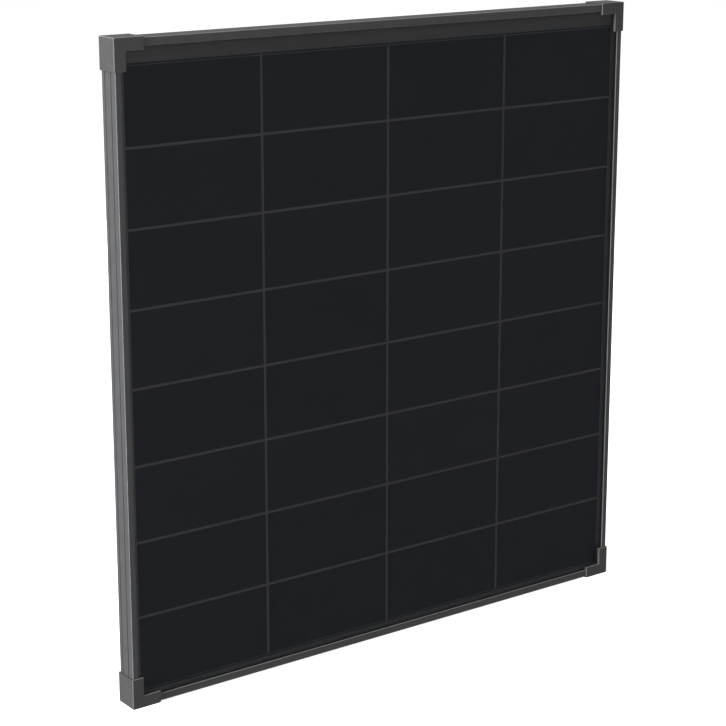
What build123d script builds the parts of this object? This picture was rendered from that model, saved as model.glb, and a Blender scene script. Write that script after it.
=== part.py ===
from build123d import *
import os

# Framed solar panel, standing upright on its lower edge.
# Millimetres. +X to the right seen from the front, +Y to the rear, +Z up.
# The origin is under the middle of the panel, on the surface that its two lower corner caps rest on.

# ---------------------------------------------------------------- driving dimensions
frame_width = 760.0  # over the side rails
frame_height = 790.0  # over the top and bottom rails
rail_depth = 30.0
cap_wall = 1.6
cap_leg = 38.0  # along each rail, from the cap's outer face
cap_width = 15.0  # across the front and the rear of a rail, from the cap's outer face

cell_columns = 4
cell_rows = 8
cell_width = 182.0
cell_height = 91.0
cell_gap = 2.0
bottom_margin = 17.4  # from the underside of the bottom rail to the first row of cells

side_lip = 7.5  # how far the side rails' front lips reach over the glass
end_lip = 9.5  # the same, on the top and bottom rails
lip_thickness = 1.7
rail_wall = 1.6
shelf_thickness = 1.5
chamber_reach = 12.0  # outer face to the inner face of the corner-key chamber
chamber_inner_wall = 1.4
chamber_depth = 11.0
flange_reach = 25.0
flange_thickness = 1.6
groove_depths = (9.8, 23.0)  # two shallow lines along the outer face, from the front
groove_width = 1.5
groove_cut = 0.6
edge_radius = 0.7

seal_thickness = 0.3
glass_thickness = 3.2
encapsulant_thickness = 0.45
bond_gap = 0.05  # between the clear encapsulant and the cells behind it
cell_thickness = 0.2
backsheet_thickness = 0.35
ribbon_width = 5.0
ribbon_thickness = 0.15

mount_spacing = 400.0  # between the two mounting slots of one rail
slot_length = 11.0
slot_width = 7.0
flange_hole_line = 15.0  # outer face of a rail to the middle of its flange holes
earth_hole_radius = 2.1
earth_hole_spacing = 300.0  # along each side rail
drain_hole_radius = 1.8
drain_hole_spacing = 600.0
drain_hole_depth = 26.0

box_width = 110.0
box_height = 80.0
box_top = 752.0
box_wall = 2.2
box_floor = 2.0
box_rim = 24.0  # depth of the rim that the lid closes on, from the front of the rails
box_corner = 4.0
lid_thickness = 2.4
hinge_radius = 3.2
hinge_pin_radius = 1.25
hinge_depth = 21.5
gland_offset = 30.0  # from the middle of the box to the middle of each cable outlet

# ---------------------------------------------------------------- derived places
half_width = frame_width / 2
rail_bottom = cap_wall
rail_top = rail_bottom + frame_height
frame_middle = (rail_bottom + rail_top) / 2

glass_front = lip_thickness + seal_thickness
encapsulant_front = glass_front + glass_thickness
cell_front = encapsulant_front + encapsulant_thickness + bond_gap
cell_back = cell_front + cell_thickness
ribbon_back = cell_back + ribbon_thickness
backsheet_front = cell_back + encapsulant_thickness
laminate_back = backsheet_front + backsheet_thickness

slot_end = laminate_back + seal_thickness
shelf_end = slot_end + shelf_thickness
chamber_end = shelf_end + chamber_depth
chamber_floor_end = chamber_end + shelf_thickness
flange_start = rail_depth - flange_thickness

laminate_inset = 2.8  # outer face of a rail to the edge of the glass
glass_width = frame_width - 2 * laminate_inset
glass_height = frame_height - 2 * laminate_inset

column_pitch = cell_width + cell_gap
row_pitch = cell_height + cell_gap
field_width = cell_columns * column_pitch - cell_gap
field_height = cell_rows * row_pitch - cell_gap
field_bottom = rail_bottom + bottom_margin
field_top = field_bottom + field_height
field_middle = (field_bottom + field_top) / 2

adhesive_thickness = 1.0
box_back = laminate_back + adhesive_thickness
box_bottom = box_top - box_height
box_middle = (box_top + box_bottom) / 2
cavity_front = box_back + box_floor
hinge_gap = 0.4  # between the barrel of the hinge and the top of the box
hinge_height = box_top + hinge_radius + hinge_gap
gland_depth = (cavity_front + box_rim) / 2

os.makedirs("parts", exist_ok=True)


def layer(depth):
    """The plane at this depth behind the front of the rails, with X right and Z up."""
    return Plane.XZ.offset(rail_depth / 2 - depth)


def save(builder, name):
    """Labels one finished piece and writes its STEP file."""
    builder.part.label = name
    export_step(builder.part, f"parts/{name}.step")


def slab(name, width, height, middle, front, thickness):
    """A flat rectangular sheet that starts at a depth and is centred at X = 0."""
    with BuildPart() as sheet:
        with BuildSketch(layer(front)):
            with Locations((0, middle)):
                Rectangle(width, height)
        extrude(amount=-thickness)
    save(sheet, name)


# ---------------------------------------------------------------- laminate
slab("front_glass", glass_width, glass_height, frame_middle, glass_front, glass_thickness)
slab(
    "front_encapsulant",
    glass_width,
    glass_height,
    frame_middle,
    encapsulant_front,
    encapsulant_thickness,
)

with BuildPart() as solar_cells:
    with BuildSketch(layer(cell_front)):
        with Locations((0, field_middle)):
            with GridLocations(column_pitch, row_pitch, cell_columns, cell_rows):
                Rectangle(cell_width, cell_height)
    extrude(amount=-cell_thickness)
save(solar_cells, "solar_cells")

# One strip behind each gap of a column joins the cell above it to the cell below it.
interconnect_width = 150.0
interconnect_height = 8.0
with BuildPart() as cell_interconnects:
    with BuildSketch(layer(cell_back)):
        with Locations((0, field_middle)):
            with GridLocations(column_pitch, row_pitch, cell_columns, cell_rows - 1):
                Rectangle(interconnect_width, interconnect_height)
    extrude(amount=-ribbon_thickness)
save(cell_interconnects, "cell_interconnects")

# The ends of the four columns: at the top the inner two are joined, at the bottom each outer
# column is joined to its neighbour. Half of each ribbon shows past the cells.
ribbon_spans = [
    (field_top, -field_width / 2, -field_width / 2 + cell_width),
    (field_top, -column_pitch + cell_gap / 2, column_pitch - cell_gap / 2),
    (field_top, field_width / 2 - cell_width, field_width / 2),
    (field_bottom, -field_width / 2, -cell_gap / 2),
    (field_bottom, cell_gap / 2, field_width / 2),
]


def ribbon_outlines():
    """Draws the five end ribbons in the current sketch."""
    for height, left, right in ribbon_spans:
        with Locations(((left + right) / 2, height)):
            Rectangle(right - left, ribbon_width)


with BuildPart() as bus_ribbons:
    with BuildSketch(layer(cell_back)):
        ribbon_outlines()
    extrude(amount=-ribbon_thickness)
save(bus_ribbons, "bus_ribbons")

# Three leads carry the current to the junction box. The outer two run along the top margin and
# come down behind the cells, clear of the ribbon there; each ends in a tail that points rearward.
lead_front = ribbon_back + 0.1
lead_height = field_top + 8.0  # clear of the end ribbons
lead_start = 200.0
tail_offset = 14.0
tail_height = 735.0
tail_end = 14.0


def outer_lead_outline(side):
    """The route of one outer lead, seen from the front; side is -1 for left and 1 for right."""
    far = side * lead_start
    near = side * tail_offset
    with Locations((far, (field_top + lead_height) / 2)):
        Rectangle(ribbon_width, lead_height - field_top + ribbon_width)
    with Locations(((far + near) / 2, lead_height)):
        Rectangle(lead_start - tail_offset + ribbon_width, ribbon_width)
    with Locations((near, (lead_height + tail_height) / 2)):
        Rectangle(ribbon_width, lead_height - tail_height)


with BuildPart() as bus_leads:
    with BuildSketch(layer(lead_front)):
        for side in (-1, 1):
            outer_lead_outline(side)
    extrude(amount=-ribbon_thickness)
    with BuildSketch(layer(ribbon_back)):
        with Locations((-lead_start, field_top), (lead_start, field_top)):
            Rectangle(ribbon_width, ribbon_width)
    extrude(amount=ribbon_back - lead_front)
    with BuildSketch(layer(ribbon_back)):
        with Locations((0, (field_top + tail_height) / 2)):
            Rectangle(ribbon_width, field_top - tail_height)
    extrude(amount=-ribbon_thickness)
    with BuildSketch(layer(lead_front)):
        with Locations((0, tail_height + ribbon_thickness / 2)):
            with GridLocations(tail_offset, 0, 3, 1):
                Rectangle(ribbon_width, ribbon_thickness)
    extrude(amount=lead_front - tail_end)
save(bus_leads, "bus_leads")

window_width = 50.0
window_height = 8.0
with BuildPart() as rear_encapsulant:
    with BuildSketch(layer(cell_front)):
        with Locations((0, frame_middle)):
            Rectangle(glass_width, glass_height)
    extrude(amount=cell_front - backsheet_front)
    with BuildSketch(layer(cell_front)):
        ribbon_outlines()
    extrude(amount=cell_front - ribbon_back, mode=Mode.SUBTRACT)
    with BuildSketch(layer(ribbon_back)):
        with Locations((0, tail_height)):
            Rectangle(window_width, window_height)
    extrude(amount=ribbon_back - backsheet_front, mode=Mode.SUBTRACT)
    add(solar_cells.part, mode=Mode.SUBTRACT)
    add(cell_interconnects.part, mode=Mode.SUBTRACT)
    add(bus_leads.part, mode=Mode.SUBTRACT)
save(rear_encapsulant, "rear_encapsulant")

with BuildPart() as backsheet:
    with BuildSketch(layer(backsheet_front)):
        with Locations((0, frame_middle)):
            Rectangle(glass_width, glass_height)
        with Locations((0, tail_height)):
            Rectangle(window_width, window_height, mode=Mode.SUBTRACT)
    extrude(amount=-backsheet_thickness)
save(backsheet, "backsheet")

# A U-shaped tape seals the edge of the laminate inside the rails' slot.
seal_reach = 4.0
with BuildPart() as edge_seal:
    with BuildSketch(layer(lip_thickness)):
        with Locations((0, frame_middle)):
            Rectangle(glass_width + 2 * seal_thickness, glass_height + 2 * seal_thickness)
            Rectangle(
                glass_width - 2 * seal_reach,
                glass_height - 2 * seal_reach,
                mode=Mode.SUBTRACT,
            )
    extrude(amount=lip_thickness - slot_end)
    with BuildSketch(layer(glass_front)):
        with Locations((0, frame_middle)):
            Rectangle(glass_width, glass_height)
    extrude(amount=glass_front - laminate_back, mode=Mode.SUBTRACT)
save(edge_seal, "edge_seal")

label_middle = 590.0
label_width = 120.0
label_height = 70.0
label_corner = 3.0
label_thickness = 0.1
with BuildPart() as rating_label:
    with BuildSketch(layer(laminate_back)):
        with Locations((0, label_middle)):
            RectangleRounded(label_width, label_height, label_corner)
    extrude(amount=-label_thickness)
save(rating_label, "rating_label")


# ---------------------------------------------------------------- frame rails
def mitred_rail(start, length, lip):
    """One rail, drawn on a plane whose x runs inward from the outer face and y rearward."""
    outline = [
        (0, 0),
        (lip, 0),
        (lip, lip_thickness),
        (rail_wall, lip_thickness),
        (rail_wall, slot_end),
        (chamber_reach, slot_end),
        (chamber_reach, chamber_floor_end),
        (rail_wall, chamber_floor_end),
        (rail_wall, flange_start),
        (flange_reach, flange_start),
        (flange_reach, rail_depth),
        (0, rail_depth),
    ]
    chamber_width = chamber_reach - rail_wall - chamber_inner_wall
    with BuildPart() as rail:
        with BuildSketch(start) as section:
            with BuildLine():
                Polyline(*outline, close=True)
            make_face()
            for corner in ((0, 0), (0, rail_depth), (lip, 0)):
                fillet(section.vertices().sort_by_distance(corner)[0], edge_radius)
            with Locations((rail_wall + chamber_width / 2, shelf_end + chamber_depth / 2)):
                Rectangle(chamber_width, chamber_depth, mode=Mode.SUBTRACT)
            with Locations(*[(groove_cut / 2, depth) for depth in groove_depths]):
                Rectangle(groove_cut, groove_width, mode=Mode.SUBTRACT)
        extrude(amount=length)
        for along, turn in ((0, 1), (length, -1)):
            end = Plane(start.origin + start.z_dir * along, z_dir=start.z_dir * turn - start.x_dir)
            split(bisect_by=end, keep=Keep.TOP)
    return rail.part


def rail_start(corner_x, corner_z, inward, along):
    """The plane that a rail's section is drawn on, at its outer front corner."""
    return Plane((corner_x, -rail_depth / 2, corner_z), x_dir=inward, z_dir=along)


end_rails = {
    "frame_rail_bottom": (
        rail_start(half_width, rail_bottom, (0, 0, 1), (-1, 0, 0)),
        rail_bottom + flange_hole_line,
    ),
    "frame_rail_top": (
        rail_start(-half_width, rail_top, (0, 0, -1), (1, 0, 0)),
        rail_top - flange_hole_line,
    ),
}
for name, (start, slot_height) in end_rails.items():
    bar = mitred_rail(start, frame_width, end_lip)
    with BuildPart() as end_rail:
        add(bar)
        with BuildSketch(layer(rail_depth)):
            with Locations((0, slot_height)):
                with GridLocations(mount_spacing, 0, 2, 1):
                    SlotOverall(slot_length, slot_width)
        extrude(amount=flange_thickness, mode=Mode.SUBTRACT)
        if name == "frame_rail_bottom":
            with BuildSketch(Plane.XY.offset(rail_bottom)):
                with Locations((0, drain_hole_depth - rail_depth / 2)):
                    with GridLocations(drain_hole_spacing, 0, 2, 1):
                        Circle(drain_hole_radius)
            extrude(amount=rail_wall, mode=Mode.SUBTRACT)
    save(end_rail, name)

side_rails = {
    "frame_rail_left": (
        rail_start(-half_width, rail_bottom, (1, 0, 0), (0, 0, 1)),
        flange_hole_line - half_width,
    ),
    "frame_rail_right": (
        rail_start(half_width, rail_top, (-1, 0, 0), (0, 0, -1)),
        half_width - flange_hole_line,
    ),
}
for name, (start, hole_x) in side_rails.items():
    bar = mitred_rail(start, frame_height, side_lip)
    with BuildPart() as side_rail:
        add(bar)
        with BuildSketch(layer(rail_depth)):
            with Locations((hole_x, frame_middle)):
                with GridLocations(0, earth_hole_spacing, 1, 2):
                    Circle(earth_hole_radius)
        extrude(amount=flange_thickness, mode=Mode.SUBTRACT)
    save(side_rail, name)

# ---------------------------------------------------------------- corner keys and caps
# Each is drawn once, for the lower left corner, and mirrored to the other three.
mirrors = {
    "bottom_left": [],
    "bottom_right": [Plane.YZ],
    "top_left": [Plane.XY.offset(frame_middle)],
    "top_right": [Plane.YZ, Plane.XY.offset(frame_middle)],
}


def save_corners(master, name):
    """Writes the master and its mirror images, one for each corner."""
    for corner, planes in mirrors.items():
        with BuildPart() as piece:
            add(master)
            for plane in planes:
                mirror(about=plane, mode=Mode.REPLACE)
        save(piece, f"{name}_{corner}")


key_clearance = 0.1
key_leg = 36.0
key_barbs = (14.0, 22.0, 30.0)  # ridges across each leg that grip the chamber's walls
barb_length = 1.2
key_width = chamber_reach - rail_wall - chamber_inner_wall - 2 * key_clearance
key_edge = rail_wall + key_clearance
with BuildPart() as corner_key:
    with BuildSketch(layer(shelf_end + key_clearance)):
        with Locations((key_edge - half_width, rail_bottom + key_edge)):
            Rectangle(key_leg, key_width, align=(Align.MIN, Align.MIN))
            Rectangle(key_width, key_leg, align=(Align.MIN, Align.MIN))
        for along in key_barbs:
            with Locations((along - half_width, rail_bottom + key_edge + key_width / 2)):
                Rectangle(barb_length, key_width + 2 * key_clearance)
            with Locations((key_edge + key_width / 2 - half_width, rail_bottom + along)):
                Rectangle(key_width + 2 * key_clearance, barb_length)
    extrude(amount=2 * key_clearance - chamber_depth)
save_corners(corner_key.part, "corner_key")

# The cap is a moulded L that wraps the outer faces, the front lip and the rear flange. Its front
# thickens past the lip, so that its inner edge closes down onto the glass.
cap_left = -half_width - cap_wall
cap_glass_clearance = 0.1
cap_corner_radius = 1.0
cap_edge = 0.4
lip_room = glass_front - cap_glass_clearance
rib_height = 0.5
rib_width = 1.3
rib_length = 28.0
low_corner = (Align.MIN, Align.MIN)
with BuildPart() as corner_cap:
    with BuildSketch(layer(-cap_wall)):
        with Locations((cap_left, 0)):
            Rectangle(cap_leg, cap_width, align=low_corner)
            Rectangle(cap_width, cap_leg, align=low_corner)
    extrude(amount=-rail_depth - 2 * cap_wall)
    with BuildSketch(layer(lip_room)):
        with Locations((-half_width, rail_bottom)):
            Rectangle(cap_leg, cap_leg, align=low_corner)
    extrude(amount=lip_room - rail_depth, mode=Mode.SUBTRACT)
    with BuildSketch(layer(0)):
        with Locations((-half_width, rail_bottom)):
            Rectangle(cap_leg, end_lip + cap_glass_clearance, align=low_corner)
            Rectangle(side_lip + cap_glass_clearance, cap_leg, align=low_corner)
    extrude(amount=-lip_room, mode=Mode.SUBTRACT)
    fillet(
        corner_cap.edges().filter_by(Axis.Y).sort_by_distance((cap_left, 0, 0))[0],
        cap_corner_radius,
    )
    chamfer(corner_cap.faces().sort_by(Axis.Y)[0].edges(), cap_edge)
    chamfer(corner_cap.faces().sort_by(Axis.Y)[-1].edges(), cap_edge)
    for depth in groove_depths:
        with BuildSketch(layer(depth - rib_width / 2)):
            with Locations((-half_width, rail_bottom)):
                with Locations((cap_corner_radius, 0)):
                    Rectangle(rib_length, rib_height, align=low_corner)
                with Locations((0, cap_corner_radius)):
                    Rectangle(rib_height, rib_length, align=low_corner)
        extrude(amount=-rib_width)
save_corners(corner_cap.part, "corner_cap")

# ---------------------------------------------------------------- junction box
# It is glued to the backsheet below the top rail. Its lid hinges along the top edge, its two cable
# outlets point down, and the leads from the cells come in through a window in its floor.
adhesive_inset = 4.0
adhesive_width = 9.0
floor_window_height = 14.0
gasket_inset = 0.6
gasket_width = 1.0
gasket_seat = 0.8
gasket_proud = 0.05
lid_gap = 0.1

lid_rib_width = 1.6
lid_rib_length = 56.0
lid_rib_depth = 2.0
lid_rib_clearance = 0.1
lid_edge = 0.8
tab_width = 18.0
tab_reach = 4.5
tab_corner = 1.5
knuckle_length = 60.0
ear_length = 10.0
ear_gap = 0.4
ear_root = 11.0
web_clearance = 0.4
web_overlap = 1.0
pin_clearance = 0.05
pin_hold = 0.02

gland_radius = 6.0
gland_bore = 4.6
gland_hole_clearance = 0.1
collar_flats = 15.0
collar_thickness = 2.5
thread_length = 9.5  # of the gland's body, below its collar
inner_thread_length = 4.5  # inside the box's wall
locknut_flats = 14.0
locknut_thickness = 3.0
seal_bore = 3.1
seal_length = 8.0
nut_flats = 14.5
nut_gap = 0.5  # between the collar and the nut
nut_length = 12.0
nut_lip = 2.8
nut_hole = 3.6
nut_clearance = 0.06
nut_edge = 0.8

plate_front = 13.0
plate_thickness = 0.8
plate_bottom = 717.0
outer_plate_width = 29.0
inner_plate_width = 12.0
outer_plate_middle = 23.5
post_radius = 4.0
middle_post_width = 8.0
middle_post_height = 4.0
screw_height = 726.0
screw_radius = 1.5
screw_head_radius = 3.0
screw_head_height = 2.0
screw_depth = 10.6
recess_length = 4.0
recess_width = 0.8
recess_depth = 1.0

diode_offset = 7.5
diode_height = 706.0
diode_width = 9.0
diode_length = 10.0
diode_thickness = 4.5
diode_corner = 0.8
diode_floor_gap = 1.8
diode_lead_pitch = 7.0
diode_lead_width = 1.2
diode_lead_thickness = 0.6
diode_lead_length = 16.0


def box_outline(inset=0.0, mode=Mode.ADD):
    """Draws the box's rounded outline in the current sketch, smaller by inset on every side."""
    radius = max(box_corner - inset, gasket_inset)
    with Locations((0, box_middle)):
        RectangleRounded(box_width - 2 * inset, box_height - 2 * inset, radius, mode=mode)


def hinge_section(start):
    """The plane across the hinge at X = start: x runs rearward and y up."""
    return Plane((start, 0, 0), x_dir=(0, 1, 0), z_dir=(1, 0, 0))


def knuckle_outline(*root):
    """A hinge barrel and a web from it to the part that it belongs to, through the root's points.

    Each point is a depth and a height, from the front side of the web to its rear side."""
    y = hinge_depth - rail_depth / 2
    with Locations((y, hinge_height)):
        Circle(hinge_radius)
    web = [(depth - rail_depth / 2, height) for depth, height in root]
    Polygon(
        (y - hinge_radius, hinge_height),
        *web,
        (y + hinge_radius, hinge_height),
        align=None,
    )


with BuildPart() as junction_box_adhesive:
    with BuildSketch(layer(laminate_back)):
        box_outline(adhesive_inset)
        box_outline(adhesive_inset + adhesive_width, Mode.SUBTRACT)
    extrude(amount=-adhesive_thickness)
save(junction_box_adhesive, "junction_box_adhesive")

with BuildPart() as junction_box_base:
    with BuildSketch(layer(box_back)):
        box_outline()
    extrude(amount=box_back - box_rim)
    with BuildSketch(layer(cavity_front)):
        box_outline(box_wall)
    extrude(amount=cavity_front - box_rim, mode=Mode.SUBTRACT)
    with BuildSketch(layer(box_back)):
        with Locations((0, tail_height)):
            Rectangle(window_width, floor_window_height)
    extrude(amount=-box_floor, mode=Mode.SUBTRACT)
    with BuildSketch(layer(box_rim - gasket_seat)):
        box_outline(gasket_inset)
        box_outline(gasket_inset + gasket_width, Mode.SUBTRACT)
    extrude(amount=-gasket_seat, mode=Mode.SUBTRACT)
    # Posts that carry the terminal plates, with a screw hole in each outer one.
    with BuildSketch(layer(cavity_front)):
        with Locations((-gland_offset, screw_height), (gland_offset, screw_height)):
            Circle(post_radius)
        with Locations((0, plate_bottom)):
            Rectangle(middle_post_width, middle_post_height, align=(Align.CENTER, Align.MIN))
    extrude(amount=cavity_front - plate_front)
    with BuildSketch(layer(plate_front)):
        with Locations((-gland_offset, screw_height), (gland_offset, screw_height)):
            Circle(screw_radius + pin_hold)
    extrude(amount=plate_front - screw_depth, mode=Mode.SUBTRACT)
    # Two ears on the top edge hold the hinge pin.
    ear_start = knuckle_length / 2 + ear_gap
    for start in (-ear_start - ear_length, ear_start):
        with BuildSketch(hinge_section(start)):
            knuckle_outline((box_rim - ear_root, box_top), (box_rim, box_top))
            with Locations((hinge_depth - rail_depth / 2, hinge_height)):
                Circle(hinge_pin_radius + pin_hold, mode=Mode.SUBTRACT)
        extrude(amount=ear_length)
    # A round hole in the bottom wall for each cable gland.
    with BuildSketch(Plane.XY.offset(box_bottom)):
        with Locations((0, gland_depth - rail_depth / 2)):
            with GridLocations(2 * gland_offset, 0, 2, 1):
                Circle(gland_radius + gland_hole_clearance)
    extrude(amount=box_wall, mode=Mode.SUBTRACT)
save(junction_box_base, "junction_box_base")

with BuildPart() as junction_box_gasket:
    with BuildSketch(layer(box_rim - gasket_seat)):
        box_outline(gasket_inset)
        box_outline(gasket_inset + gasket_width, Mode.SUBTRACT)
    extrude(amount=-gasket_seat - gasket_proud)
save(junction_box_gasket, "junction_box_gasket")

lid_front = box_rim + lid_gap
lid_back = lid_front + lid_thickness
with BuildPart() as junction_box_lid:
    with BuildSketch(layer(lid_front)):
        box_outline()
    extrude(amount=-lid_thickness)
    fillet(junction_box_lid.faces().sort_by(Axis.Y)[-1].edges(), lid_edge)
    # A locating rib fits just inside each side wall.
    rib_spacing = box_width - 2 * (box_wall + lid_rib_clearance) - lid_rib_width
    with BuildSketch(layer(lid_front)):
        with Locations((0, box_middle)):
            with GridLocations(rib_spacing, 0, 2, 1):
                Rectangle(lid_rib_width, lid_rib_length)
    extrude(amount=lid_gap + lid_rib_depth)
    with BuildSketch(hinge_section(-knuckle_length / 2)):
        knuckle_outline(
            (lid_front, box_top + web_clearance),
            (lid_front, box_top - web_overlap),
            (lid_back - lid_edge, box_top - web_overlap),
        )
        with Locations((hinge_depth - rail_depth / 2, hinge_height)):
            Circle(hinge_pin_radius + pin_clearance, mode=Mode.SUBTRACT)
    extrude(amount=knuckle_length)
    # A finger tab reaches past the bottom edge.
    with BuildSketch(layer(lid_front)):
        with Locations((0, box_bottom)):
            RectangleRounded(tab_width, 2 * tab_reach, tab_corner)
    extrude(amount=lid_edge - lid_thickness)
save(junction_box_lid, "junction_box_lid")

with BuildPart() as hinge_pin:
    with BuildSketch(hinge_section(-ear_start - ear_length)):
        with Locations((hinge_depth - rail_depth / 2, hinge_height)):
            Circle(hinge_pin_radius)
    extrude(amount=2 * (ear_start + ear_length))
save(hinge_pin, "hinge_pin")

# ---------------------------------------------------------------- cable glands
# Each is a threaded body through the bottom wall, a locknut inside the box, a rubber seal in the
# body's lower end and a nut that squeezes the seal onto the cable.
collar_bottom = box_bottom - collar_thickness
body_bottom = collar_bottom - thread_length
wall_inside = box_bottom + box_wall


def gland_circles(radius, mode=Mode.ADD):
    """Draws a circle on each gland's line in the current horizontal sketch."""
    with Locations((0, gland_depth - rail_depth / 2)):
        with GridLocations(2 * gland_offset, 0, 2, 1):
            Circle(radius, mode=mode)


def gland_hexagons(flats):
    """Draws a hexagon on each gland's line, with two of its flats facing front and rear."""
    with Locations((0, gland_depth - rail_depth / 2)):
        with GridLocations(2 * gland_offset, 0, 2, 1):
            RegularPolygon(flats / 2, 6, major_radius=False)


with BuildPart() as gland_bodies:
    with BuildSketch(Plane.XY.offset(body_bottom)):
        gland_circles(gland_radius)
    extrude(amount=wall_inside + inner_thread_length - body_bottom)
    with BuildSketch(Plane.XY.offset(collar_bottom)):
        gland_hexagons(collar_flats)
    extrude(amount=collar_thickness)
    with BuildSketch(Plane.XY.offset(body_bottom)):
        gland_circles(gland_bore)
    extrude(amount=wall_inside + inner_thread_length - body_bottom, mode=Mode.SUBTRACT)
save(gland_bodies, "gland_bodies")

with BuildPart() as gland_locknuts:
    with BuildSketch(Plane.XY.offset(wall_inside)):
        gland_hexagons(locknut_flats)
        gland_circles(gland_radius + pin_clearance, Mode.SUBTRACT)
    extrude(amount=locknut_thickness)
save(gland_locknuts, "gland_locknuts")

with BuildPart() as gland_seals:
    with BuildSketch(Plane.XY.offset(body_bottom)):
        gland_circles(gland_bore - pin_hold)
        gland_circles(seal_bore, Mode.SUBTRACT)
    extrude(amount=seal_length)
save(gland_seals, "gland_seals")

nut_top = collar_bottom - nut_gap
for side, offset in (("left", -gland_offset), ("right", gland_offset)):
    with BuildPart() as gland_nut:
        with BuildSketch(Plane.XY.offset(nut_top)):
            with Locations((offset, gland_depth - rail_depth / 2)):
                RegularPolygon(nut_flats / 2, 6, major_radius=False)
        extrude(amount=-nut_length)
        with BuildSketch(Plane.XY.offset(nut_top)):
            with Locations((offset, gland_depth - rail_depth / 2)):
                Circle(gland_radius + nut_clearance)
        extrude(amount=nut_lip - nut_length, mode=Mode.SUBTRACT)
        with BuildSketch(Plane.XY.offset(nut_top - nut_length)):
            with Locations((offset, gland_depth - rail_depth / 2)):
                Circle(nut_hole)
        extrude(amount=nut_lip, mode=Mode.SUBTRACT)
        lower_rim = gland_nut.faces().sort_by(Axis.Z)[0].outer_wire().edges()
        chamfer(lower_rim, nut_edge)
    save(gland_nut, f"gland_nut_{side}")

# ---------------------------------------------------------------- terminals
with BuildPart() as terminal_plates:
    with BuildSketch(layer(plate_front)):
        with Locations((0, (plate_bottom + tail_height) / 2)):
            Rectangle(inner_plate_width, tail_height - plate_bottom)
            with GridLocations(2 * outer_plate_middle, 0, 2, 1):
                Rectangle(outer_plate_width, tail_height - plate_bottom)
        with Locations((-gland_offset, screw_height), (gland_offset, screw_height)):
            Circle(screw_radius + pin_hold, mode=Mode.SUBTRACT)
    extrude(amount=-plate_thickness)
save(terminal_plates, "terminal_plates")

# Each bypass diode bridges two neighbouring plates with a pair of flat leads.
with BuildPart() as bypass_diodes:
    with BuildSketch(layer(cavity_front + diode_floor_gap)):
        with Locations((0, diode_height)):
            with GridLocations(2 * diode_offset, 0, 2, 1):
                RectangleRounded(diode_width, diode_length, diode_corner)
    extrude(amount=-diode_thickness)
    with BuildSketch(layer(plate_front + plate_thickness)):
        with Locations((0, diode_height + diode_length / 2)):
            with GridLocations(2 * diode_offset, 0, 2, 1):
                with GridLocations(diode_lead_pitch, 0, 2, 1):
                    Rectangle(diode_lead_width, diode_lead_length)
    extrude(amount=-diode_lead_thickness)
save(bypass_diodes, "bypass_diodes")

with BuildPart() as terminal_screws:
    with BuildSketch(layer(screw_depth)):
        with Locations((-gland_offset, screw_height), (gland_offset, screw_height)):
            Circle(screw_radius)
    extrude(amount=screw_depth - plate_front - plate_thickness)
    with BuildSketch(layer(plate_front + plate_thickness)):
        with Locations((-gland_offset, screw_height), (gland_offset, screw_height)):
            Circle(screw_head_radius)
    extrude(amount=-screw_head_height)
    with BuildSketch(layer(plate_front + plate_thickness + screw_head_height)):
        with Locations((-gland_offset, screw_height), (gland_offset, screw_height)):
            Rectangle(recess_length, recess_width)
            Rectangle(recess_width, recess_length)
    extrude(amount=recess_depth, mode=Mode.SUBTRACT)
save(terminal_screws, "terminal_screws")
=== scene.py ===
import bpy
import bmesh
import math
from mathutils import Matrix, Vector, noise


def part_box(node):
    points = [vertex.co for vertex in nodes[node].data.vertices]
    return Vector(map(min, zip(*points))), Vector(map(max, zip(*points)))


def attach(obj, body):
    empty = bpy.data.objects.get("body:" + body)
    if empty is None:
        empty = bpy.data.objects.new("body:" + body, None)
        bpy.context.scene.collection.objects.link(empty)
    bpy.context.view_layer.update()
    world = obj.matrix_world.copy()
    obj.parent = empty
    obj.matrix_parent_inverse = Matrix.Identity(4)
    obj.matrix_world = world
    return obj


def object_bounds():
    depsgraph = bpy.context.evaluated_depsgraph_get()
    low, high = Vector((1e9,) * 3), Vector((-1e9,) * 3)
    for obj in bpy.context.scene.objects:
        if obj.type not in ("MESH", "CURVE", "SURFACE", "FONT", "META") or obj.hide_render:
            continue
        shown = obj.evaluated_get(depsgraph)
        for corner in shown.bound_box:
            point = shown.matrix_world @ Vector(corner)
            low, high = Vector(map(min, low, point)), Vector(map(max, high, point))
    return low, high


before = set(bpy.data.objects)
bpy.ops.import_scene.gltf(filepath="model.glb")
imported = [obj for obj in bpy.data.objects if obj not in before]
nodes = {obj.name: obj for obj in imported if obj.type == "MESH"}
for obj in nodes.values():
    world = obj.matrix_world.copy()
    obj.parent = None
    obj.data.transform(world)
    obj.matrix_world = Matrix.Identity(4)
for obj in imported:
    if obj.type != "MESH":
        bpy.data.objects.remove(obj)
cad_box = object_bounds()
scene = bpy.context.scene
low, high = cad_box

# ------------------------------------------------------------------ camera and studio
VIEW_TURN = math.radians(36.5)  # round from the front towards the left
VIEW_DROP = math.radians(14.1)  # how far the camera looks down
VIEW_DISTANCE = 2.5
VIEW_LENS = 99.8
VIEW_SHIFT = -0.05
SENSOR_WIDTH = 36.0
AIM_LEFT = 0.031  # how far left of the panel's middle the camera aims
AIM_HEIGHT = 0.521  # and how high, as a share of the panel's height
AIM = Vector(
    ((low.x + high.x) / 2 - AIM_LEFT, (low.y + high.y) / 2, (low.z + high.z) * AIM_HEIGHT)
)

SURROUND_LIGHT = 0.5
FLOOR_RADIUS = 9.0
FLOOR_GREY = (0.5, 0.5, 0.5)
FLOOR_GLOW = 0.75
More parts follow.
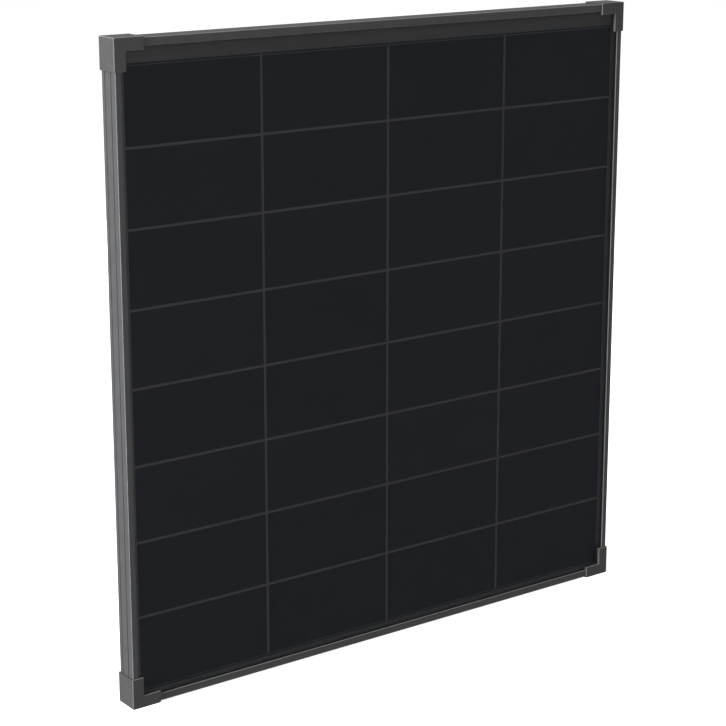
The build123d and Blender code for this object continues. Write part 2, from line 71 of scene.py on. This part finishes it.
# Each softbox: its place, its width and height, and its power in watts.
SOFTBOXES = {
    "left_softbox": ((-3.4, -0.3, 1.9), 0.9, 2.4, 520),
    "top_softbox": ((0.5, 0.9, 3.2), 2.4, 2.4, 12),
    "front_low_softbox": ((-0.9, -1.7, 0.15), 1.2, 0.8, 12),
    "front_high_softbox": ((-1.2, -3.0, 2.4), 2.0, 2.0, 15),
    "rear_softbox": ((1.5, 2.4, 0.4), 1.4, 0.7, 40),  # below the panel's top, which it leaves dark
}
POLARISED = ("left_softbox", "rear_softbox")  # these light the panel but leave no highlight on it


def make_camera():
    """The camera in front of the panel, to its left and a little above it."""
    data = bpy.data.cameras.new("camera")
    data.lens = VIEW_LENS
    data.sensor_width = SENSOR_WIDTH
    data.shift_y = VIEW_SHIFT
    camera = bpy.data.objects.new("camera", data)
    scene.collection.objects.link(camera)
    ahead = Vector(
        (
            math.sin(VIEW_TURN) * math.cos(VIEW_DROP),
            math.cos(VIEW_TURN) * math.cos(VIEW_DROP),
            -math.sin(VIEW_DROP),
        )
    )
    camera.location = AIM - ahead * VIEW_DISTANCE
    camera.rotation_euler = ahead.to_track_quat("-Z", "Y").to_euler()
    scene.camera = camera


def softbox(name, place, width, height, power):
    """A rectangular studio light that faces the middle of the panel."""
    data = bpy.data.lights.new(name, "AREA")
    data.shape = "RECTANGLE"
    data.size = width
    data.size_y = height
    data.energy = power
    lamp = bpy.data.objects.new(name, data)
    scene.collection.objects.link(lamp)
    lamp.location = place
    lamp.rotation_euler = (AIM - Vector(place)).to_track_quat("-Z", "Y").to_euler()
    lamp.visible_camera = False
    lamp.visible_glossy = name not in POLARISED


def white_surround():
    """An even surround, pure white to look at and as bright as SURROUND_LIGHT on the panel."""
    world = bpy.data.worlds.new("studio")
    scene.world = world
    world.use_nodes = True
    tree = world.node_tree
    lighting = tree.nodes["Background"]
    lighting.inputs["Color"].default_value = (1.0, 1.0, 1.0, 1.0)
    lighting.inputs["Strength"].default_value = SURROUND_LIGHT
    seen = tree.nodes.new("ShaderNodeBackground")
    seen.inputs["Color"].default_value = (1.0, 1.0, 1.0, 1.0)
    rays = tree.nodes.new("ShaderNodeLightPath")
    mix = tree.nodes.new("ShaderNodeMixShader")
    tree.links.new(rays.outputs["Is Camera Ray"], mix.inputs["Fac"])
    tree.links.new(lighting.outputs[0], mix.inputs[1])
    tree.links.new(seen.outputs[0], mix.inputs[2])
    tree.links.new(mix.outputs[0], tree.nodes["World Output"].inputs["Surface"])


def white_floor():
    """A white floor that glows a little, so that the panel's shadow on it stays faint."""
    mesh = bpy.data.meshes.new("floor")
    work = bmesh.new()
    bmesh.ops.create_circle(work, cap_ends=True, segments=96, radius=FLOOR_RADIUS)
    work.to_mesh(mesh)
    work.free()
    floor = bpy.data.objects.new("floor", mesh)
    scene.collection.objects.link(floor)
    paint = bpy.data.materials.new("floor_paint")
    paint.use_nodes = True
    surface = paint.node_tree.nodes["Principled BSDF"]
    surface.inputs["Base Color"].default_value = (*FLOOR_GREY, 1.0)
    surface.inputs["Roughness"].default_value = 1.0
    surface.inputs["Specular IOR Level"].default_value = 0.0
    surface.inputs["Emission Color"].default_value = (1.0, 1.0, 1.0, 1.0)
    surface.inputs["Emission Strength"].default_value = FLOOR_GLOW
    mesh.materials.append(paint)
    floor.visible_diffuse = False
    floor.visible_glossy = False


scene.view_settings.view_transform = "Standard"
make_camera()
white_surround()
white_floor()
for name, (place, width, height, power) in SOFTBOXES.items():
    softbox(name, place, width, height, power)


# ------------------------------------------------------------------ material building blocks
PER_CM = 100.0  # metres to centimetres
WHITE = (1.0, 1.0, 1.0)


class Surface:
    """A Principled material with short calls for its procedural detail."""

    def __init__(self, name, colour, roughness, **settings):
        self.material = bpy.data.materials.new(name)
        self.material.use_nodes = True
        self.tree = self.material.node_tree
        self.shader = self.tree.nodes["Principled BSDF"]
        self.shader.inputs["Base Color"].default_value = (*colour, 1.0)
        self.shader.inputs["Roughness"].default_value = roughness
        for key, value in settings.items():
            self.shader.inputs[key.replace("_", " ")].default_value = value
        self.colour = colour
        self.normal = None

    def node(self, kind, **settings):
        made = self.tree.nodes.new(kind)
        for key, value in settings.items():
            setattr(made, key, value)
        return made

    def place(self, stretch=(1, 1, 1)):
        """Positions on the object in metres, each axis scaled."""
        coordinates = self.node("ShaderNodeTexCoord")
        mapping = self.node("ShaderNodeMapping")
        mapping.inputs["Scale"].default_value = stretch
        self.tree.links.new(coordinates.outputs["Object"], mapping.inputs["Vector"])
        return mapping.outputs["Vector"]

    def noise(self, size, stretch=(1, 1, 1), detail=3.0):
        """Smooth noise whose blotches are about size metres across."""
        made = self.node("ShaderNodeTexNoise")
        made.inputs["Scale"].default_value = 1.0 / size
        made.inputs["Detail"].default_value = detail
        self.tree.links.new(self.place(stretch), made.inputs["Vector"])
        return made.outputs["Fac"]

    def grid(self, corner, width, height, half_line, tones=(1, 1), line_colour=WHITE, smooth=0.0):
        """A grid of tiles seen from the front or the rear, all in metres, from its lower left corner.

        The tiles' tones vary between the two given, times the surface's own colour. Returns the
        colour, and how much of a line between tiles there is at each point."""
        flat = self.node("ShaderNodeMapping")
        flat.inputs["Scale"].default_value = (PER_CM, PER_CM, PER_CM)
        flat.inputs["Rotation"].default_value = (-math.pi / 2, 0, 0)
        flat.inputs["Location"].default_value = (-corner[0] * PER_CM, -corner[1] * PER_CM, 0)
        self.tree.links.new(self.place(), flat.inputs["Vector"])
        tiles = self.node("ShaderNodeTexBrick", offset=0.0)
        for key, value in (("Color1", tones[0]), ("Color2", tones[1])):
            tiles.inputs[key].default_value = (*[c * value for c in self.colour], 1.0)
        tiles.inputs["Mortar"].default_value = (*line_colour, 1.0)
        tiles.inputs["Scale"].default_value = 1.0
        tiles.inputs["Mortar Size"].default_value = half_line * PER_CM
        tiles.inputs["Mortar Smooth"].default_value = smooth
        tiles.inputs["Brick Width"].default_value = width * PER_CM
        tiles.inputs["Row Height"].default_value = height * PER_CM
        self.tree.links.new(flat.outputs["Vector"], tiles.inputs["Vector"])
        return tiles.outputs["Color"], tiles.outputs["Fac"]

    def spread(self, value, low, high, source=(0.3, 0.7)):
        """The value, mapped from source to between low and high."""
        made = self.node("ShaderNodeMapRange")
        made.inputs["From Min"].default_value = source[0]
        made.inputs["From Max"].default_value = source[1]
        made.inputs["To Min"].default_value = low
        made.inputs["To Max"].default_value = high
        self.tree.links.new(value, made.inputs["Value"])
        return made.outputs["Result"]

    def paint(self, colour):
        """Colours the surface with a node's colour."""
        self.tree.links.new(colour, self.shader.inputs["Base Color"])

    def tint(self, value, dark, light):
        """Colours the surface from its own colour times dark to its own colour times light."""
        ramp = self.node("ShaderNodeMix", data_type="RGBA")
        ramp.inputs["A"].default_value = (*[c * dark for c in self.colour], 1.0)
        ramp.inputs["B"].default_value = (*[c * light for c in self.colour], 1.0)
        self.tree.links.new(value, ramp.inputs["Factor"])
        self.paint(ramp.outputs["Result"])

    def mottle(self, size, dark, light):
        """Varies the colour as tint does, in soft blotches about size metres across."""
        self.tint(self.spread(self.noise(size), 0.0, 1.0), dark, light)

    def uncover(self, value, colour):
        """The node's colour where the value is 0, and the surface's own colour where it is 1."""
        mix = self.node("ShaderNodeMix", data_type="RGBA")
        self.tree.links.new(colour, mix.inputs["A"])
        mix.inputs["B"].default_value = (*self.colour, 1.0)
        self.tree.links.new(value, mix.inputs["Factor"])
        return mix.outputs["Result"]

    def combine(self, operation, first, second):
        """One number from two, such as their MAXIMUM or what they MULTIPLY to."""
        made = self.node("ShaderNodeMath", operation=operation)
        self.tree.links.new(first, made.inputs[0])
        self.tree.links.new(second, made.inputs[1])
        return made.outputs["Value"]

    def paint_edge_highlight(self, tone):
        """Paints a highlight on the rounded and chamfered edges, unevenly, lightening them by up to
        the tone given.

        An edge is where the surface faces along none of the object's axes. The surface is tinted
        first, and then the painted highlight is laid over it."""
        flat, slanted = 0.99, 0.85  # the largest part of a flat face's direction, and of an edge's
        patch, least = 0.006, 0.6
        lengths = self.node("ShaderNodeVectorMath", operation="ABSOLUTE")
        self.tree.links.new(self.node("ShaderNodeTexCoord").outputs["Normal"], lengths.inputs[0])
        axes = self.node("ShaderNodeSeparateXYZ")
        self.tree.links.new(lengths.outputs["Vector"], axes.inputs["Vector"])
        along_x_or_y = self.combine("MAXIMUM", axes.outputs["X"], axes.outputs["Y"])
        along_any = self.combine("MAXIMUM", along_x_or_y, axes.outputs["Z"])
        highlight_mask = self.spread(along_any, 1.0, 0.0, (slanted, flat))
        highlight_patches = self.spread(self.noise(patch), least, 1.0)
        mix = self.node("ShaderNodeMix", data_type="RGBA")
        self.tree.links.new(self.combine("MULTIPLY", highlight_mask, highlight_patches), mix.inputs["Factor"])
        self.tree.links.new(self.shader.inputs["Base Color"].links[0].from_socket, mix.inputs["A"])
        mix.inputs["B"].default_value = (*[c * tone for c in self.colour], 1.0)
        self.paint(mix.outputs["Result"])

    def rough(self, value, low, high):
        """Varies the roughness between low and high."""
        self.tree.links.new(self.spread(value, low, high), self.shader.inputs["Roughness"])

    def soften(self, radius):
        """Rounds the sharp edges to the eye, by up to radius metres."""
        made = self.node("ShaderNodeBevel", samples=4)
        made.inputs["Radius"].default_value = radius
        self.normal = made.outputs["Normal"]
        self.tree.links.new(self.normal, self.shader.inputs["Normal"])

    def bump(self, value, depth):
        """Raises the surface by up to depth metres where value is high."""
        made = self.node("ShaderNodeBump")
        made.inputs["Distance"].default_value = depth
        self.tree.links.new(value, made.inputs["Height"])
        if self.normal is not None:
            self.tree.links.new(self.normal, made.inputs["Normal"])
        self.normal = made.outputs["Normal"]
        self.tree.links.new(self.normal, self.shader.inputs["Normal"])


def dress(material, *names):
    """Gives CAD nodes a material in every slot they have."""
    for name in names:
        piece = nodes[name]
        if not piece.material_slots:
            piece.data.materials.append(material)
        for slot in piece.material_slots:
            slot.link = "OBJECT"
            slot.material = material


# ------------------------------------------------------------------ materials
ALONG_X, ALONG_Z = 0, 2
EDGE_SOFTNESS = 0.0003
EDGE_HIGHLIGHT_TONE = 4.0  # how much lighter an edge's painted highlight makes it


def anodised(name, along):
    """Satin black anodised aluminium, with the faint die lines of an extrusion."""
    line_width, line_depth = 0.0006, 0.00001
    stretch = [1.0, 1.0, 1.0]
    stretch[along] = 0.01
    made = Surface(name, (0.036, 0.0365, 0.038), 0.45, IOR=1.33)
    made.soften(EDGE_SOFTNESS)
    lines = made.noise(line_width, stretch, 2.0)
    made.mottle(size=0.02, dark=0.93, light=1.07)
    # painted highlights along the rounded and chamfered edges
    made.paint_edge_highlight(EDGE_HIGHLIGHT_TONE)
    made.rough(lines, 0.42, 0.5)
    made.bump(lines, line_depth)
    return made.material


def moulded_plastic(name, colour, grain, roughness, edge_highlight=False):
    """Moulded plastic with a fine spark-eroded grain, and, when asked, a painted highlight on its
    edges.
    """
    made = Surface(name, colour, roughness, IOR=1.35)
    made.soften(EDGE_SOFTNESS)
    fine = made.noise(grain, detail=2.0)
    made.mottle(size=0.015, dark=0.93, light=1.07)
    if edge_highlight:
        # painted highlights along the rounded and chamfered edges
        made.paint_edge_highlight(EDGE_HIGHLIGHT_TONE)
    made.rough(made.noise(size=0.004), roughness - 0.05, roughness + 0.07)
    made.bump(fine, depth=grain * 0.1)
    return made.material


def plain(name, colour, roughness, **settings):
    """A smooth material with a little variation in tone and gloss."""
    made = Surface(name, colour, roughness, **settings)
    made.mottle(size=0.01, dark=0.96, light=1.04)
    made.rough(made.noise(size=0.003), roughness - 0.03, roughness + 0.05)
    return made.material


def empty_material(name):
    """A material with no shader yet. Returns it, its node tree and the socket for its surface."""
    material = bpy.data.materials.new(name)
    material.use_nodes = True
    tree = material.node_tree
    tree.nodes.clear()
    output = tree.nodes.new("ShaderNodeOutputMaterial")
    return material, tree, output.inputs["Surface"]


def solar_glass():
    """Coated, faintly stippled solar glass: nearly clear, with a soft weak reflection."""
    blur = 0.16
    coated_index = 1.04  # the coating leaves little of the bare glass's reflection
    material, tree, surface = empty_material("solar_glass")
    mix = tree.nodes.new("ShaderNodeMixShader")
    clear = tree.nodes.new("ShaderNodeBsdfTransparent")
    clear.inputs["Color"].default_value = (0.985, 0.99, 0.99, 1.0)
    gloss = tree.nodes.new("ShaderNodeBsdfGlossy")
    gloss.inputs["Roughness"].default_value = blur
    share = tree.nodes.new("ShaderNodeFresnel")
    share.inputs["IOR"].default_value = coated_index
    tree.links.new(share.outputs[0], mix.inputs[0])
    tree.links.new(clear.outputs[0], mix.inputs[1])
    tree.links.new(gloss.outputs[0], mix.inputs[2])
    tree.links.new(mix.outputs[0], surface)
    return material


def clear_layer():
    """The clear encapsulant, which can't be seen against the glass."""
    material, tree, surface = empty_material("clear_encapsulant")
    clear = tree.nodes.new("ShaderNodeBsdfTransparent")
    clear.inputs["Color"].default_value = (0.99, 0.99, 0.985, 1.0)
    tree.links.new(clear.outputs[0], surface)
    return material


def sealant():
    """Black silicone, cured with a soft gloss and shallow ripples from the nozzle."""
    ripple, ripple_depth = 0.003, 0.0002
    made = Surface("silicone", (0.02, 0.02, 0.02), 0.35)
    made.mottle(size=0.008, dark=0.9, light=1.1)
    made.rough(made.noise(size=0.004), 0.28, 0.42)
    made.bump(made.noise(ripple, detail=2.0), ripple_depth)
    return made.material


CELL_COLUMNS = 4
CELL_ROWS = 8
CELL_GAP = 0.002
CELL_HIGHLIGHT_BAND = 0.0002  # the width of a paler band painted along each cell's edge, a painted highlight that brightens the lines between cells
cells_low, cells_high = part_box("solar_cells")
cell_corner = (cells_low.x - CELL_GAP / 2, cells_low.z - CELL_GAP / 2)
cell_pitch_x = (cells_high.x - cells_low.x + CELL_GAP) / CELL_COLUMNS
cell_pitch_z = (cells_high.z - cells_low.z + CELL_GAP) / CELL_ROWS


def silicon():
    """Coated black cells, each of a slightly different tone, with a paler band painted along each
    edge: a painted highlight that brightens the lines between cells.
    """
    tones = (0.95, 1.05)
    # the colour of the painted highlight along each cell's edge
    band_highlight_colour = (0.125, 0.127, 0.136)
    half_line = CELL_GAP / 2 + CELL_HIGHLIGHT_BAND
    made = Surface("silicon", (0.0128, 0.0134, 0.0178), 0.45, Specular_IOR_Level=0.1)
    cells = made.grid(cell_corner, cell_pitch_x, cell_pitch_z, half_line, tones, band_highlight_colour)[0]
    made.paint(cells)
    made.rough(made.noise(size=0.003), 0.42, 0.5)
    return made.material


def black_backsheet():
    """Matt film, faintly embossed, with the cells and the gaps between them showing through."""
    embossing, relief = 0.00003, 0.0002
    made = Surface("black_backsheet", (0.03, 0.03, 0.031), 0.55)
    made.mottle(size=0.03, dark=0.94, light=1.06)
    gaps = made.grid(cell_corner, cell_pitch_x, cell_pitch_z, CELL_GAP, smooth=1.0)[1]
    made.rough(made.noise(size=0.002), 0.5, 0.6)
    made.bump(made.noise(0.0008, detail=2.0), embossing)
    made.bump(made.spread(gaps, 1.0, 0.0, (0.0, 1.0)), relief)
    return made.material


def label_film():
    """Silver film printed with an empty table."""
    made = Surface("label_film", (0.55, 0.56, 0.57), 0.35)
    label_low, label_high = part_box("rating_label")
    width = label_high.x - label_low.x
    height = label_high.z - label_low.z
    margin = 0.004
    half_rule = 0.0002  # half of a printed line's width
    ink = (0.05, 0.05, 0.055)
    columns, rows = 2, 9
    table = made.grid(
        (label_low.x + margin, label_low.z + margin),
        (width - 2 * margin) / columns,
        (height - 2 * margin) / rows,
        half_rule,
        (0.97, 1.03),
        ink,
    )[0]
    border = made.grid((label_low.x, label_low.z), width, height, margin - half_rule)[1]
    made.paint(made.uncover(border, table))
    made.rough(made.noise(size=0.003), 0.32, 0.4)
    return made.material


caps = [name for name in nodes if name.startswith("corner_cap")]
keys = [name for name in nodes if name.startswith("corner_key")]
box_parts = [name for name in nodes if name.startswith(("junction_box_base", "junction_box_lid"))]
gland_parts = [name for name in nodes if name.startswith("gland_") and name != "gland_seals"]

dress(anodised("anodised_end_rails", ALONG_X), "frame_rail_top", "frame_rail_bottom")
dress(anodised("anodised_side_rails", ALONG_Z), "frame_rail_left", "frame_rail_right")
# the caps get painted highlights along their edges
dress(moulded_plastic("cap_plastic", (0.034, 0.034, 0.0345), 0.0007, 0.5, edge_highlight=True), *caps)
box_plastic = moulded_plastic("box_plastic", (0.018, 0.018, 0.0185), 0.0005, 0.45)
dress(box_plastic, *box_parts, *gland_parts)
silicone = sealant()
dress(silicone, "junction_box_adhesive")
dress(solar_glass(), "front_glass")
dress(clear_layer(), "front_encapsulant")
dress(silicon(), "solar_cells")
dress(black_backsheet(), "backsheet")
dress(label_film(), "rating_label")

METAL = {"Metallic": 1.0}
DULL = {"Specular_IOR_Level": 0.1}
# Each plain finish: its colour, its roughness, its other settings and the nodes that have it.
PLAIN_FINISHES = {
    "cast_aluminium": ((0.6, 0.6, 0.62), 0.45, METAL, keys),
    "steel": ((0.6, 0.6, 0.6), 0.3, METAL, ["hinge_pin", "terminal_screws"]),
    "terminal_brass": ((0.75, 0.6, 0.35), 0.3, METAL, ["terminal_plates"]),
    "tinned_copper": ((0.62, 0.55, 0.48), 0.35, METAL, ["cell_interconnects", "bus_leads"]),
    "black_ribbon": ((0.0128, 0.0134, 0.0175), 0.45, DULL, ["bus_ribbons"]),
    "black_encapsulant": ((0.041, 0.041, 0.043), 0.5, DULL, ["rear_encapsulant"]),
    "seal_foam": ((0.03, 0.03, 0.03), 0.8, {}, ["edge_seal"]),
    "gasket_rubber": ((0.015, 0.015, 0.015), 0.7, {}, ["junction_box_gasket", "gland_seals"]),
    "diode_body": ((0.012, 0.012, 0.012), 0.4, {}, ["bypass_diodes"]),
}
for name, (colour, roughness, settings, pieces) in PLAIN_FINISHES.items():
    dress(plain(name, colour, roughness, **settings), *pieces)


# ------------------------------------------------------------------ sealant and moulded relief
def rounded_loop(middle, half_width, half_height, radius, per_side=60, per_corner=8):
    """Points (x, z) round a rectangle with rounded corners, from its lower right corner."""
    arcs = []
    for quarter in range(4):
        right = 1 if quarter in (0, 1) else -1
        up = 1 if quarter in (1, 2) else -1
        centre_x = middle[0] + right * (half_width - radius)
        centre_z = middle[1] + up * (half_height - radius)
        turns = [math.pi / 2 * (quarter - 1 + step / per_corner) for step in range(per_corner + 1)]
        arcs.append(
            [(centre_x + radius * math.cos(a), centre_z + radius * math.sin(a)) for a in turns]
        )
    points = []
    for arc, following in zip(arcs, arcs[1:] + arcs[:1]):
        points += arc
        start, end = Vector(arc[-1]), Vector(following[0])
        points += [tuple(start.lerp(end, step / per_side)) for step in range(1, per_side)]
    return points


def piece(name, work, body, slot, material):
    """Makes one piece that rides on a body."""
    bmesh.ops.recalc_face_normals(work, faces=work.faces)
    mesh = bpy.data.meshes.new(name)
    work.to_mesh(mesh)
    work.free()
    mesh.materials.append(material)
    made = bpy.data.objects.new(name, mesh)
    scene.collection.objects.link(made)
    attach(made, body)


def join_loops(work, rows):
    """Fills the space between each loop of vertices and the next."""
    for near, far in zip(rows, rows[1:]):
        for here in range(len(near)):
            there = (here + 1) % len(near)
            work.faces.new((near[here], near[there], far[there], far[here]))


def ring(name, loops, body, slot, material):
    """A closed, smooth ring through loops of points, the last joined to the first."""
    work = bmesh.new()
    rows = [[work.verts.new(point) for point in loop] for loop in loops]
    join_loops(work, rows + rows[:1])
    for face in work.faces:
        face.smooth = True
    piece(name, work, body, slot, material)


OUTSIDE, INSIDE = 1, -1


def sealant_bead(name, middle, half_width, half_height, corner, floor, reach, side):
    """A round bead of sealant in the angle between a flat surface and a rectangular wall.

    The flat surface is at Y = floor. side says whether the bead is OUTSIDE the wall or INSIDE."""
    steps = 6
    unevenness = 0.16
    wander = 40.0  # one ripple in every 25 mm
    root = rounded_loop(middle, half_width, half_height, corner)
    loops = [[(x, floor, z) for x, z in root]]
    for step in range(steps + 1):
        angle = math.pi / 2 * step / steps
        out = side * reach * math.cos(angle)
        rise = reach * math.sin(angle)
        outline = rounded_loop(middle, half_width + out, half_height + out, corner + abs(out))
        loop = []
        for (x, z), (root_x, root_z) in zip(outline, root):
            swell = 1 + unevenness * noise.noise(Vector((root_x, 0, root_z)) * wander)
            loop.append(
                (root_x + (x - root_x) * swell, floor + rise * swell, root_z + (z - root_z) * swell)
            )
        loops.append(loop)
    ring(name, loops, "panel", "silicone", silicone)


def raised_frame(name, middle, half_width, half_height, corner, base, body):
    """A narrow moulded rib that runs round a lid's face."""
    width, rise, slope, sunk = 0.0014, 0.0006, 0.0003, 0.0001
    section = ((0, -sunk), (slope, rise), (width - slope, rise), (width, -sunk))
    loops = []
    for inset, up in section:
        outline = rounded_loop(
            middle,
            half_width - inset,
            half_height - inset,
            corner - inset,
            per_side=12,
            per_corner=6,
        )
        loops.append([(x, base + up, z) for x, z in outline])
    ring(name, loops, body, "box_plastic", box_plastic)


def raised_bars(name, middles, half_length, half_width, base, body):
    """Short moulded ribs with round ends, one at each middle."""
    rise, slope, sunk = 0.0005, 0.0001, 0.0001
    roundness = 0.98  # just short of a half circle, so that no two corners of an end meet
    work = bmesh.new()
    for middle in middles:
        rows = []
        for inset, up in ((0, -sunk), (0, rise - slope), (slope, rise)):
            radius = half_width - inset
            outline = rounded_loop(
                middle, half_length - inset, radius, radius * roundness, per_side=2, per_corner=6
            )
            rows.append([work.verts.new((x, base + up, z)) for x, z in outline])
        join_loops(work, rows)
        work.faces.new(rows[0])
        work.faces.new(rows[-1])
    piece(name, work, body, "box_plastic", box_plastic)


CHAMBER_REACH = 0.012  # from a rail's outer face to the inner face of its hollow chamber
RAIL_CORNER = 0.0001
REAR_BEAD = 0.0035
rails_low, rails_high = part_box("frame_rail_left")[0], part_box("frame_rail_right")[1]
rails_middle = ((rails_low.x + rails_high.x) / 2, (rails_low.z + rails_high.z) / 2)
backsheet_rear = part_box("backsheet")[1].y
sealant_bead(
    "rear_sealant_bead",
    rails_middle,
    (rails_high.x - rails_low.x) / 2 - CHAMBER_REACH,
    (rails_high.z - rails_low.z) / 2 - CHAMBER_REACH,
    RAIL_CORNER,
    backsheet_rear,
    REAR_BEAD,
    INSIDE,
)

BOX_CORNER = 0.004
BOX_BEAD = 0.0024
ADHESIVE_INSET = 0.004  # the adhesive lies evenly inside the box's outline
pad_low, pad_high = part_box("junction_box_adhesive")
box_half_width = (pad_high.x - pad_low.x) / 2 + ADHESIVE_INSET
box_half_height = (pad_high.z - pad_low.z) / 2 + ADHESIVE_INSET
box_middle = ((pad_low.x + pad_high.x) / 2, (pad_low.z + pad_high.z) / 2)
sealant_bead(
    "box_sealant_bead",
    box_middle,
    box_half_width,
    box_half_height,
    BOX_CORNER,
    backsheet_rear,
    BOX_BEAD,
    OUTSIDE,
)

RELIEF_INSET = 0.007
LID_EDGE = 0.0008  # the tab's face lies this much below the lid's
BAR_COUNT = 3
BAR_SPACING = 0.0011
BAR_HALF_LENGTH = 0.006
BAR_HALF_WIDTH = 0.0004
lid_low, lid_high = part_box("junction_box_lid")
raised_frame(
    "lid_relief",
    box_middle,
    box_half_width - RELIEF_INSET,
    box_half_height - RELIEF_INSET,
    BOX_CORNER,
    lid_high.y,
    "box_lid",
)
bars = [(box_middle[0], lid_low.z + BAR_SPACING * (step + 1)) for step in range(BAR_COUNT)]
raised_bars(
    "tab_grips", bars, BAR_HALF_LENGTH, BAR_HALF_WIDTH, lid_high.y - LID_EDGE, "box_lid"
)
